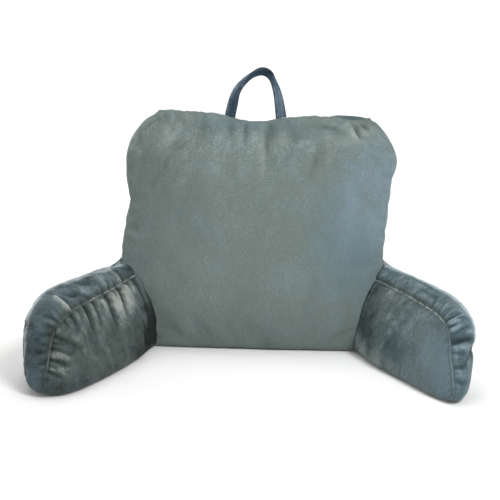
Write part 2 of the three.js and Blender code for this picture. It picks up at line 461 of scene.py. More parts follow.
def lumps(points: np.ndarray, size: float, seed: int, waves: int = 24) -> np.ndarray:
    """Soft unevenness of the filling: a sum of plane waves in seeded directions, about -1 to 1.

    Args:
        points: Places in metres.
        size: Typical wave length in millimetres.
        seed: Seed of the directions and phases.
        waves: Number of waves, 0.7 to 1.5 times as long as the typical one.

    Returns:
        The unevenness at each point.
    """
    chance = np.random.default_rng(seed)
    directions = chance.normal(size=(waves, 3))
    directions /= np.linalg.norm(directions, axis=1, keepdims=True)
    lengths = size * MM * chance.uniform(0.7, 1.5, waves)
    phases = chance.uniform(0, 2 * math.pi, waves)
    angles = points @ (directions.T * 2 * math.pi / lengths) + phases
    return np.sin(angles).sum(axis=1) / math.sqrt(waves)


def unevenness(points: np.ndarray, waves: Iterable[tuple[float, float, int]], seed: int) -> np.ndarray:
    """Sum of lumps of a size and a height in millimetres, each with its own step from the seed."""
    return sum(height * lumps(points, size, seed + step) for size, height, step in waves)


def puckers(reach: np.ndarray, size: float, seed: int, waves: int = 9) -> np.ndarray:
    """Uneven ripples along a seam: a sum of waves of seeded lengths along it, about -1 to 1.

    Args:
        reach: Places along the seam, in millimetres.
        size: Typical wave length in millimetres.
        seed: Seed of the lengths and phases.
        waves: Number of waves, 0.6 to 1.8 times as long as the typical one.

    Returns:
        The ripple at each place.
    """
    chance = np.random.default_rng(seed)
    turns = reach[:, None] / (size * chance.uniform(0.6, 1.8, waves)) + chance.uniform(0, 1, waves)
    return np.sin(turns * 2 * math.pi).sum(axis=1) / math.sqrt(waves)


@dataclass(frozen=True)
class FoldShading:
    """Painted highlights and shade that the folds, puckers and seams of a panel give its pile.

    Attributes:
        crest: Painted highlight: how much paler the pile is for each millimetre of a fold's height.
        heights: Lowest and highest height that count for that, in millimetres.
        pucker: Painted highlight: how much paler it is on a pucker.
        full: Depth of a trough at which its painted shade would be full, in millimetres.
        seam: Painted shade beside a seam.
        seam_pucker: How much a pucker adds to that shade.
        seam_place: Where beside the seam the cloth is darkest, in millimetres.
        seam_reach: Reach of the dark from there, in millimetres.
        most: Deepest painted shade of a trough.
    """

    crest: float
    heights: tuple[float, float]
    pucker: float
    full: float
    seam: float
    seam_pucker: float
    seam_place: float
    seam_reach: float
    most: float = 0.7

    def nap(self, folds: np.ndarray, ripple: np.ndarray) -> np.ndarray:
        """Painted highlights: how much paler the crests and the puckers are."""
        return self.crest * np.clip(folds, *self.heights) + self.pucker * ripple

    def crease(self, folds: np.ndarray, ripple: np.ndarray, seam: np.ndarray, shown: Any) -> np.ndarray:
        """Painted shade of the troughs and beside the seams, where these are shown."""
        beside = bell(seam - self.seam_place, self.seam_reach) * shown
        return np.clip(-folds / self.full, 0, self.most) + (self.seam + self.seam_pucker * ripple) * beside


@dataclass(frozen=True)
class Stuffing:
    """Filling of a cover by a short cloth simulation.

    Attributes:
        frames: Number of frames.
        pressure: Pressure of the filling.
        spare: Share by which the cloth is cut larger than its place, which makes it pucker.
        bending: How stiff the cloth is to bend.
        cap: Furthest that a point may move, in millimetres.
        firmness: How firmly a held point is held at most, from 0 to 1.
    """

    frames: int = 20
    pressure: float = 4.0
    spare: float = 0.03
    bending: float = 0.8
    cap: float = 5.0
    firmness: float = 0.98

    def fill(self, skin: Skin, held: np.ndarray, room: np.ndarray) -> None:
        """Runs the simulation on a copy of the skin and moves the skin's points by its capped result.

        Args:
            skin: The placed skin.
            held: Which points are held, from 0 to 1; seams are held.
            room: Share of the cap that each point may move by.
        """
        scene = bpy.context.scene
        cover = skin.make("cover_being_filled", {})
        pins = cover.vertex_groups.new(name="held")
        levels = np.round(held * self.firmness, 1)
        for level in np.unique(levels):
            pins.add(np.flatnonzero(levels == level).tolist(), float(level), "REPLACE")
        cloth = cover.modifiers.new("filling", "CLOTH")
        settings = cloth.settings
        settings.quality = 4
        settings.mass = 0.3
        settings.tension_stiffness = settings.compression_stiffness = 20
        settings.shear_stiffness = 12
        settings.bending_stiffness = self.bending
        settings.air_damping = 2
        settings.use_pressure = True
        settings.uniform_pressure_force = self.pressure
        settings.shrink_min = -self.spare
        settings.vertex_group_mass = pins.name
        settings.pin_stiffness = 1
        settings.effector_weights.gravity = 0
        cloth.collision_settings.use_collision = False
        cloth.point_cache.frame_start = 1
        cloth.point_cache.frame_end = self.frames
        for frame_number in range(1, self.frames + 1):
            scene.frame_set(frame_number)
        shown = cover.evaluated_get(bpy.context.evaluated_depsgraph_get())
        moved = np.empty(len(skin.points) * 3, np.float32)
        shown.data.vertices.foreach_get("co", moved)
        move = moved.reshape(-1, 3) - skin.points
        length = np.maximum(np.linalg.norm(move, axis=1), 1e-9)
        cap = self.cap * MM
        move *= (cap * np.tanh(length / cap) / length * room)[:, None]
        skin.points = skin.points + move
        scene.frame_set(1)
        mesh = cover.data
        bpy.data.objects.remove(cover)
        bpy.data.meshes.remove(mesh)


# Finishes


def add_node(
    tree: bpy.types.NodeTree, kind: str, settings: dict[str, Any], sockets: dict[Any, Any]
) -> bpy.types.Node:
    """Adds a node with its settings and links.

    Args:
        tree: The node tree.
        kind: Type name of the node.
        settings: The node's properties by name.
        sockets: For each input, by name or number, a value, or another node's output to link to it.

    Returns:
        The node.
    """
    node = tree.nodes.new(kind)
    for name, value in settings.items():
        setattr(node, name, value)
    for name, value in sockets.items():
        if isinstance(value, bpy.types.NodeSocket):
            tree.links.new(value, node.inputs[name])
        else:
            node.inputs[name].default_value = value
    return node


@dataclass(frozen=True)
class PlushVelvet:
    """Short-pile polyester plush velvet, knitted and brushed.

    The pile stands 2 mm high. Where it leans to the eye it looks deep and where it is brushed flat it looks
    pale, so it shows soft patches, hand strokes and a fine grain. Its edges catch light as a sheen.

    Attributes:
        name: Name of the material.
        deep: Colour that shows between the standing fibres.
        body: The cloth's usual colour.
        pale: Colour of pile that is brushed flat.
        shade: Colour of the painted shade in creases, beside seams and near the join.
        seam: Colour of the ground cloth that shows along a stitched seam.
        patch: Size of the patches in millimetres.
        stroke: Width of the strokes in millimetres.
        grain: Width of the tufts in millimetres; the real ones are 0.5 mm, drawn coarser so that they show.
        stitch: Size of the gaps in the seams' pale line, where the pile hides it, in millimetres.
        contrast: How far the patches, strokes and grain move the colour.
        sheen: How much light the standing fibres catch at grazing angles.
        seam_width: Half width of the pale line in millimetres.
        join_line: Distance of the seam allowance's pale line from the back cushion in millimetres, or zero.
        join_shade: How far from the back cushion the painted shade of the join reaches, in millimetres.
        cool: What the colour is multiplied by for a random cool tint and for painted cool light.
    """

    name: str
    deep: str
    body: str
    pale: str
    shade: str
    seam: str
    patch: float = 48.0
    stroke: float = 11.0
    grain: float = 1.7
    stitch: float = 12.0
    contrast: tuple[float, float, float] = (0.2, 0.22, 0.34)
    sheen: float = 0.35
    seam_width: float = 0.5
    join_line: float = 0.0
    join_shade: float = 5.0
    cool: tuple[float, float, float, float] = (0.93, 1.03, 1.28, 1.0)

    def make(self) -> bpy.types.Material:
        """Makes the material.

        Returns:
            A material that reads the marks "nap", "rub", "cool", "seam", "thread", "join" and "crease".
        """
        material = bpy.data.materials.new(self.name)
        material.use_nodes = True
        tree = material.node_tree
        tree.nodes.clear()
        place = add_node(tree, "ShaderNodeTexCoord", {}, {}).outputs["Object"]
        clouds = {}
        for title, size, detail, twist, squeeze in (
            ("patches", self.patch, 3.0, 0.9, 0.8),
            ("strokes", self.stroke, 4.0, 1.6, 0.5),
            ("grain", self.grain, 2.0, 0.0, 0.7),
            ("stitches", self.stitch, 2.0, 0.0, 1.0),
        ):
            lying = add_node(tree, "ShaderNodeMapping", {}, {"Vector": place, "Scale": (1, 1, squeeze)})
            wanted = {"Vector": lying.outputs[0], "Scale": 1 / (size * MM)}
            wanted |= {"Detail": detail, "Distortion": twist}
            clouds[title] = add_node(tree, "ShaderNodeTexNoise", {}, wanted).outputs["Fac"]
        marks = {
            title: add_node(tree, "ShaderNodeAttribute", {"attribute_name": title}, {}).outputs["Fac"]
            for title in ("nap", "rub", "cool", "seam", "thread", "join", "crease")
        }

        # Lightness: the nap mark, which holds brushed patches and painted highlights and shade, and the
        # mottling where it is rubbed.
        mottle = 0.0
        for title, share in zip(("patches", "strokes", "grain"), self.contrast):
            centred = add_node(tree, "ShaderNodeMath", {"operation": "SUBTRACT"}, {0: clouds[title], 1: 0.5})
            wanted = {0: centred.outputs[0], 1: share * 2, 2: mottle}
            mottle = add_node(tree, "ShaderNodeMath", {"operation": "MULTIPLY_ADD"}, wanted).outputs[0]
        wanted = {0: mottle, 1: marks["rub"], 2: marks["nap"]}
        lightness = add_node(tree, "ShaderNodeMath", {"operation": "MULTIPLY_ADD"}, wanted).outputs[0]
        factor = add_node(tree, "ShaderNodeMath", {"operation": "ADD"}, {0: lightness, 1: 0.5})
        ramp = add_node(tree, "ShaderNodeValToRGB", {}, {"Fac": factor.outputs[0]})
        stops = ramp.color_ramp.elements
        stops[0].position, stops[0].color = 0.0, linear(self.deep)
        stops[1].position, stops[1].color = 1.0, linear(self.pale)
        stops.new(0.5).color = linear(self.body)

        # A random cool tint and the painted cool light, then the painted shade of creases, seams and the join
        # with the back cushion.
        ends = {"From Min": 0.35, "From Max": 0.65, "To Min": -0.25, "To Max": 0.25}
        drift = add_node(tree, "ShaderNodeMapRange", {}, {"Value": clouds["patches"], **ends})
        wanted = {0: drift.outputs[0], 1: marks["cool"]}
        cooler = add_node(tree, "ShaderNodeMath", {"operation": "ADD", "use_clamp": True}, wanted)
        wanted = {"Factor": cooler.outputs[0], 6: ramp.outputs["Color"], 7: self.cool}
        tinted = add_node(tree, "ShaderNodeMix", {"data_type": "RGBA", "blend_type": "MULTIPLY"}, wanted)
        ends = {"From Min": 0.5 * MM, "From Max": self.join_shade * MM, "To Min": 0.75, "To Max": 0}
        join_painted_shade = add_node(tree, "ShaderNodeMapRange", {}, {"Value": marks["join"], **ends})
        wanted = {0: join_painted_shade.outputs[0], 1: marks["crease"]}
        darker = add_node(tree, "ShaderNodeMath", {"operation": "MAXIMUM", "use_clamp": True}, wanted)
        wanted = {"Factor": darker.outputs[0], 6: tinted.outputs[2], 7: linear(self.shade)}
        shaded = add_node(tree, "ShaderNodeMix", {"data_type": "RGBA"}, wanted)

        # The pale line of the seams, broken where the pile hides the stitches.
        nearest = marks["seam"]
        if self.join_line:
            wanted = {0: marks["join"], 1: self.join_line * MM}
            past_line = add_node(tree, "ShaderNodeMath", {"operation": "SUBTRACT"}, wanted)
            off_line = add_node(tree, "ShaderNodeMath", {"operation": "ABSOLUTE"}, {0: past_line.outputs[0]})
            wanted = {0: nearest, 1: off_line.outputs[0]}
            nearest = add_node(tree, "ShaderNodeMath", {"operation": "MINIMUM"}, wanted).outputs[0]
        ends = {"From Min": 0.1 * MM, "From Max": self.seam_width * MM, "To Min": 1, "To Max": 0}
        near = add_node(tree, "ShaderNodeMapRange", {}, {"Value": nearest, **ends})
        ends = {"From Min": 0.4, "From Max": 0.58, "To Min": 0.12, "To Max": 1}
        broken = add_node(tree, "ShaderNodeMapRange", {}, {"Value": clouds["stitches"], **ends})
        wanted = {0: near.outputs[0], 1: broken.outputs[0]}
        stitched = add_node(tree, "ShaderNodeMath", {"operation": "MULTIPLY"}, wanted)
        wanted = {0: stitched.outputs[0], 1: marks["thread"]}
        line = add_node(tree, "ShaderNodeMath", {"operation": "MULTIPLY"}, wanted)
        wanted = {"Factor": line.outputs[0], 6: shaded.outputs[2], 7: linear(self.seam)}
        colour = add_node(tree, "ShaderNodeMix", {"data_type": "RGBA"}, wanted)

        # Pile that leans to the eye catches less sheen, the painted highlights catch more, and the sheen is
        # taken away under the painted shade.
        wanted = {0: factor.outputs[0], 1: 2 * self.sheen}
        brushed_flat = add_node(tree, "ShaderNodeMath", {"operation": "MULTIPLY", "use_clamp": True}, wanted)
        wanted = {0: 1.0, 1: darker.outputs[0]}
        outside_painted_shade = add_node(tree, "ShaderNodeMath", {"operation": "SUBTRACT"}, wanted)
        wanted = {0: brushed_flat.outputs[0], 1: outside_painted_shade.outputs[0]}
        caught = add_node(tree, "ShaderNodeMath", {"operation": "MULTIPLY"}, wanted)

        wanted = {"Strength": 0.35, "Distance": 0.6 * MM, "Height": clouds["grain"]}
        tufts = add_node(tree, "ShaderNodeBump", {}, wanted)
        wanted = {"Strength": 0.5, "Distance": 1.4 * MM, "Height": clouds["strokes"]}
        relief = add_node(tree, "ShaderNodeBump", {}, {**wanted, "Normal": tufts.outputs[0]})
        wanted = {
            "Base Color": colour.outputs[2],
            "Roughness": 0.9,
            "Specular IOR Level": 0.2,
            "Sheen Weight": caught.outputs[0],
            "Sheen Roughness": 0.45,
            "Sheen Tint": linear("#c3cbca"),
            "Normal": relief.outputs[0],
        }
        shader = add_node(tree, "ShaderNodeBsdfPrincipled", {}, wanted)
        add_node(tree, "ShaderNodeOutputMaterial", {}, {"Surface": shader.outputs[0]})
        return material


@dataclass(frozen=True)
class MattePaper:
    """Seamless studio paper: matte, pale and without a pattern that shows.

    Attributes:
        name: Name of the material.
        colour: Its colour.
        fibre: Size of its faint cloudiness in millimetres.
    """

    name: str
    colour: str
    fibre: float = 400.0

    def make(self) -> bpy.types.Material:
        """Makes the material.

        Returns:
            The material.
        """
        material = bpy.data.materials.new(self.name)
        material.use_nodes = True
        tree = material.node_tree
        tree.nodes.clear()
        place = add_node(tree, "ShaderNodeTexCoord", {}, {}).outputs["Object"]
        cloud = add_node(tree, "ShaderNodeTexNoise", {}, {"Vector": place, "Scale": 1 / (self.fibre * MM)})
        sockets = {"Factor": cloud.outputs["Fac"], 6: linear(self.colour), 7: linear("#ffffff")}
        colour = add_node(tree, "ShaderNodeMix", {"data_type": "RGBA"}, sockets).outputs[2]
        sockets = {"Base Color": colour, "Roughness": 1.0, "Specular IOR Level": 0.0}
        shader = add_node(tree, "ShaderNodeBsdfPrincipled", {}, sockets)
        add_node(tree, "ShaderNodeOutputMaterial", {}, {"Surface": shader.outputs[0]})
        return material


def dress(piece: bpy.types.Object, material: bpy.types.Material, node: str) -> None:
    """Gives a piece its material, hangs it on the body and hides the CAD node that it stands for.

    Args:
        piece: The finished piece.
        material: Its material.
        node: The CAD node that it replaces.
    """
    piece.data.materials.clear()
    piece.data.materials.append(material)
    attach(piece, BODY)
    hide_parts(node)


def subdivide(piece: bpy.types.Object) -> None:
    """Adds one level of subdivision, the same in the view and the render."""
    modifier = piece.modifiers.new("rounding", "SUBSURF")
    modifier.levels = modifier.render_levels = 1


def applied(piece: bpy.types.Object) -> None:
    """Replaces the piece's mesh by the one that its modifiers make, and removes them."""
    graph = bpy.context.evaluated_depsgraph_get()
    mesh = bpy.data.meshes.new_from_object(piece.evaluated_get(graph))
    old = piece.data
    piece.modifiers.clear()
    piece.data = mesh
    mesh.name = piece.name
    bpy.data.meshes.remove(old)


def cut_by(piece: bpy.types.Object, cutter: bpy.types.Object) -> None:
    """Cuts away what lies in another closed piece, and keeps the new edge sharp.

    Args:
        piece: The piece to cut.
        cutter: The closed piece that is cut out of it.
    """
    modifier = piece.modifiers.new("cut", "BOOLEAN")
    modifier.operation = "DIFFERENCE"
    modifier.solver = "MANIFOLD"
    modifier.object = cutter
    applied(piece)
    piece.data.set_sharp_from_angle(angle=math.radians(65))


def grown(piece: bpy.types.Object, gap: float) -> bpy.types.Object:
    """Copies a piece with every point moved outward along its normal.

    Args:
        piece: The piece.
        gap: How far, in metres.

    Returns:
        The larger copy, which only serves to cut its neighbours.
    """
    copy = piece.copy()
    copy.data = piece.data.copy()
    bpy.context.scene.collection.objects.link(copy)
    points = np.empty(len(copy.data.vertices) * 3, np.float32)
    copy.data.vertices.foreach_get("co", points)
    normals = np.empty_like(points)
    copy.data.vertex_normals.foreach_get("vector", normals)
    copy.data.vertices.foreach_set("co", points + normals * gap)
    copy.data.update()
    return copy


def mark_nearness(piece: bpy.types.Object, other: bpy.types.Object) -> None:
    """Stores each point's distance to another piece as its mark "join".

    Args:
        piece: The piece that gets the mark.
        other: The piece that it's sewn to.
    """
    tree = bpy.data.node_groups.new("nearness", "GeometryNodeTree")
    tree.interface.new_socket("Geometry", in_out="INPUT", socket_type="NodeSocketGeometry")
    tree.interface.new_socket("Geometry", in_out="OUTPUT", socket_type="NodeSocketGeometry")
    start = add_node(tree, "NodeGroupInput", {}, {})
    neighbour = add_node(tree, "GeometryNodeObjectInfo", {}, {"Object": other})
    nearest = add_node(tree, "GeometryNodeProximity", {}, {0: neighbour.outputs["Geometry"]})
    sockets = {"Geometry": start.outputs[0], "Name": "join", "Value": nearest.outputs["Distance"]}
    settings = {"data_type": "FLOAT", "domain": "POINT"}
    store = add_node(tree, "GeometryNodeStoreNamedAttribute", settings, sockets)
    add_node(tree, "NodeGroupOutput", {}, {0: store.outputs[0]})
    piece.modifiers.new("nearness", "NODES").node_group = tree
    applied(piece)
    bpy.data.node_groups.remove(tree)


# Back cushion


@dataclass
class BackCushion:
    """Stuffed back cushion: two leaning panels that swell between their seams, and a boxing round them.

    Sizes are those of the CAD node, in millimetres, but its top bulges less, its front seam stands out
    further and its right ear is rolled down. The front panel's top seam runs from ear to ear and dips between
    the strap's legs.
    """

    front_foot: float = -86
    rear_foot: float = 68
    front_lean: float = 13.8
    rear_lean: float = 5.5
    seam_lift: float = 1.5
    ear_left: float = 409
    ear_right: float = 405
    rear_drop: float = 26
    top_sag: float = 13
    sag_centre: float = -0.05
    sag_reach: float = 0.3
    crown_front: float = 46
    crown_rear: float = 34
    crown_power: float = 1.1
    slump: float = 0.16
    side_bulge: float = 5
    top_bulge: float = 2
    # Share of the bulge that the front panel's seam stands out by, so that no boxing shows beside it.
    front_share: float = 0.85
    bottom_bulge: float = 10
    width: float = 440
    height: float = 404
    thickness: float = 140
    cells: tuple[int, int, int] = (96, 24, 80)
    sides: tuple[Row, ...] = rows(
        "height left right",
        (0, 228, 220),
        (80, 236, 226),
        (167, 237, 222),
        (210, 231, 225),
        (253, 225, 229),
        (295, 231, 234),
        (326, 231, 240),
        (349, 225, 233),
        (372, 212, 220),
        (391, 197, 205),
        (407, 177, 187),
    )
    # Creases of the front panel, by place across from the middle and height.
    creases: tuple[Fold, ...] = (
        Fold((-214, 366), (-204, 330), 5, 2.0, 0.4),
        Fold((-186, 392), (-208, 374), 4, 1.5, 0.5, Fade.BOTH_ENDS),
        Fold((166, 392), (179, 366), 3.2, 5.5, 0.55, Fade.BOTH_ENDS),
        Fold((176, 394), (196, 383), 3.4, 3.0, 0.5, Fade.BOTH_ENDS),
        Fold((104, 386), (148, 382), 4, 2.0, 0.5, Fade.BOTH_ENDS),
        Fold((112, 378), (160, 372), 5, 1.5, 0.5, Fade.BOTH_ENDS),
        Fold((-170, 398), (-138, 352), 6, 1.2, 0.5),
        Fold((-148, 400), (-124, 370), 5, 1.2, 0.5),
        Fold((-116, 400), (-104, 372), 5, 1.0, 0.5),
        Fold((-26, 388), (-24, 340), 4, 2.4, 0.5),
        Fold((16, 388), (12, 322), 4, 2.6, 0.5),
        Fold((24, 386), (22, 340), 7, 1.4, -0.5),
        Fold((-52, 386), (-60, 352), 7, 1.5, 0.5),
        Fold((52, 388), (66, 350), 8, 1.5, 0.5),
    )
    # Brushed patches of the front panel, with painted light and shade among them: the right side is paler,
    # the rim of the crease at the right ear has a pale spot, and the left side and the foot are darker.
    patches: tuple[Brushed, ...] = (
        Brushed((-90, 330), (90, 60), 0.05),
        Brushed((175, 372), (26, 14), 0.12),
        Brushed((205, 270), (60, 80), 0.1),
        *hand_strokes(Brushed((-20, 350), (150, 44), 0.07, 80), 90, (16, 4), 31),
        *hand_strokes(Brushed((140, 372), (70, 26), 0.07, 5), 40, (14, 4), 32),
        *hand_strokes(Brushed((-170, 340), (60, 60), 0.06, 55), 40, (16, 4), 33),
        *hand_strokes(Brushed((-20, 200), (220, 190), 0.03, 85), 90, (34, 12), 34),
        Brushed((-190, 260), (60, 110), -0.14),
        Brushed((0, 30), (240, 50), -0.1),
        Brushed((-60, 384), (60, 14), -0.16),
        Brushed((40, 384), (60, 14), -0.12),
        Brushed((20, 350), (16, 36), -0.1),
    )
    rear_patches: tuple[Brushed, ...] = (
        Brushed((60, 300), (120, 80), 0.08),
        Brushed((-120, 120), (110, 90), -0.08),
        *hand_strokes(Brushed((0, 200), (230, 190), 0.06, 70), 140, (24, 7), 35),
    )
    # Painted cool light, strongest on the right side of the front panel and along the middle of its top.
    painted_cool_light_patches: tuple[Brushed, ...] = (
        Brushed((215, 270), (90, 90), 1.0),
        Brushed((170, 170), (80, 90), 0.7),
        Brushed((-10, 388), (90, 14), 0.7),
    )
    # Where the pile is rubbed into strokes, over the even mottling of the rest.
    rubbed: tuple[Brushed, ...] = (
        Brushed((-20, 360), (150, 45), 0.5),
        Brushed((-150, 340), (80, 60), 0.3),
        Brushed((180, 180), (90, 110), -0.3),
    )
    even_rub: float = 0.7
    shading: FoldShading = FoldShading(
        crest=0.1,
        heights=(0, 4),
        pucker=0.05,
        full=5,
        seam=0.15,
        seam_pucker=0,
        seam_place=1.5,
        seam_reach=2.5,
    )
    # How deep the seams are drawn in, and how far to each side.
    seam_depth: float = 1.2
    seam_reach: float = 4
    # Height and length of the puckers, the distance from the seam where they are highest, and their reach.
    pucker: float = 0.6
    pucker_length: float = 15
    pucker_place: float = 6
    pucker_reach: float = 8
    # Size and height of the filling's lumps, with the step from their seed, and how they fade near a seam.
    waves: tuple[tuple[float, float, int], ...] = ((95, 1.6, 0), (45, 0.5, 2))
    seed: int = 3
    filled_from: float = 20
    filled_fade: float = 12
    # Height up to which the foot is held flat, and the height over which it comes free.
    foot_held: float = 12
    foot_free: float = 20
    # How far from a seam the cloth is held, and from where on it may move all the way.
    hold_reach: float = 5
    room_from: float = 6
    # Over what part of the way through the cushion, from -1 to 1, the panels' and the boxing's looks fade.
    front_fade: float = 0.25
    rear_fade: float = 0.1
    boxing_fade: float = 0.04
    # At the right ear the front panel's top seam is rolled down and the boxing rises over it.
    ear_dip: float = 6
    ear_rise: float = 4
    ear_at: float = 0.84
    ear_reach: float = 0.13
    # The strip of boxing that shows there is painted in shade, darker and cooler: how closely it keeps to the
    # top, and its reach in reaches of the ear.
    strip_power: float = 8
    strip_reach: float = 1.6

    def top_seam(self, across: np.ndarray) -> np.ndarray:
        """Height of the top seam: a straight line between the ears less a bell curve for the sag."""
        sag = bell(across - self.sag_centre, self.sag_reach)
        return mix(self.ear_left, self.ear_right, (1 + across) / 2) - self.top_sag * sag

    def place(self, skin: Skin) -> None:
        """Places the skin's points.

        A height gives each panel's leaning plane and its half width; the panels swell off their planes by a
        product of half circles, sunk a little, and the band between the seams bulges outward.

        Args:
            skin: The skin to place.
        """
        x, y, z = skin.cube.T
        dip = self.ear_dip * bell(x - self.ear_at, self.ear_reach) * np.clip(-y, 0, 1) ** 2
        top = self.top_seam(x) - self.rear_drop * (1 + y) / 2 - dip
        seam_height = mix(self.seam_lift, top, (1 + z) / 2)
        left, right = (curve(self.sides, name)(seam_height) for name in ("left", "right"))
        half = np.where(x < 0, left, right)
        band = arch(y)
        stand = np.where(y < 0, mix(self.front_share, 1, band), band)
        bulge = np.where(z < 0, self.bottom_bulge * (1 - arch(z)) * band, self.top_bulge * stand)
        bulge += np.where(z > 0, self.ear_rise * bell(x - self.ear_at, self.ear_reach), 0) * band**0.5
        height = np.maximum(0, seam_height + bulge * z)
        front = self.front_foot + slope(self.front_lean) * seam_height
        rear = self.rear_foot + slope(self.rear_lean) * seam_height
        turn = np.arcsin(np.clip(z, -1, 1)) * 2 / math.pi
        sunk = np.cos((turn + self.slump * (1 - turn**2)) * math.pi / 2)
        swell = (arch(x) * np.clip(sunk, 0, 1)) ** self.crown_power
        crown = swell * np.where(y < 0, -self.crown_front, self.crown_rear)
        depth = mix(front, rear, (1 + y) / 2) + crown * np.abs(y)
        skin.points = np.stack([x * (half + self.side_bulge * stand), depth, height], axis=1) * MM

    def build(self, finish: PlushVelvet, stuffing: Stuffing) -> bpy.types.Object:
        """Builds and dresses the cushion.

        Args:
            finish: Its velvet.
            stuffing: How it is filled.

        Returns:
            The finished piece.
        """
        skin = cube_skin(*self.cells)
        self.place(skin)
        x, y, z = skin.cube.T
        edge = np.minimum((1 - np.abs(x)) * self.width / 2, (1 - np.abs(z)) * self.height / 2)
        seam = edge + (1 - np.abs(y)) / 2 * self.thickness
        u, v = skin.points[:, 0] / MM, skin.points[:, 2] / MM
        on_front = np.clip(1 - (1 + y) / self.front_fade, 0, 1)
        on_rear = np.clip(1 - (1 - y) / self.rear_fade, 0, 1)
        on_boxing = np.clip((1 - np.abs(y)) / self.boxing_fade, 0, 1)
        standing = np.clip((v - self.foot_held) / self.foot_free, 0, 1)
        creases = folded(self.creases, u, v) * on_front
        ripple = puckers(np.where(np.abs(x) > np.abs(z), v, u), self.pucker_length, self.seed + 4)
        ripple *= bell(seam - self.pucker_place, self.pucker_reach) * standing
        filled = bell(np.maximum(0, self.filled_from - seam), self.filled_fade)
        relief = creases + unevenness(skin.points, self.waves, self.seed) * filled
        relief += self.pucker * ripple - self.seam_depth * bell(seam, self.seam_reach) * standing
        skin.raise_by(relief * MM)
        held = np.maximum(bell(seam, self.hold_reach), 1 - standing)
        stuffing.fill(skin, held, np.clip(seam / self.room_from, 0, 1) * standing)
        skin.points[:, 2] = np.maximum(skin.points[:, 2], 0)
        # Painted shade on the strip of boxing at the right ear.
        strip = on_boxing * bell(x - self.ear_at, self.strip_reach * self.ear_reach)
        strip *= np.clip(z, 0, 1) ** self.strip_power
        # The nap holds brushed patches and painted highlights on crests and puckers, the crease mark painted
        # shade in troughs, beside seams and on the strip, and cool painted cool light.
        marks = {
            "nap": brushed(self.patches, u, v) * on_front
            + brushed(self.rear_patches, u, v) * on_rear
            + self.shading.nap(creases, ripple)
            - 0.3 * strip,
            "rub": self.even_rub + brushed(self.rubbed, u, v) * on_front,
            "cool": np.clip(brushed(self.painted_cool_light_patches, u, v) * on_front + 0.2 * on_boxing + strip, 0, 1),
            "seam": seam * MM,
            "thread": 0.3 * standing * np.clip(y, 0, 1),
            "join": np.ones_like(u),
            "crease": self.shading.crease(creases, ripple, seam, standing) + 0.6 * strip,
        }
        piece = skin.make("back_cushion_velvet", marks)
        subdivide(piece)
        applied(piece)
        dress(piece, finish.make(), "back_cushion")
        return piece


# Arms

# Share of a curve to either side over which its direction is measured.
DIRECTION_STEP = 0.004
SEAM_COLUMNS = "along inner_x inner_y inner_top foot_x foot_y outer_x outer_y outer_top dome"


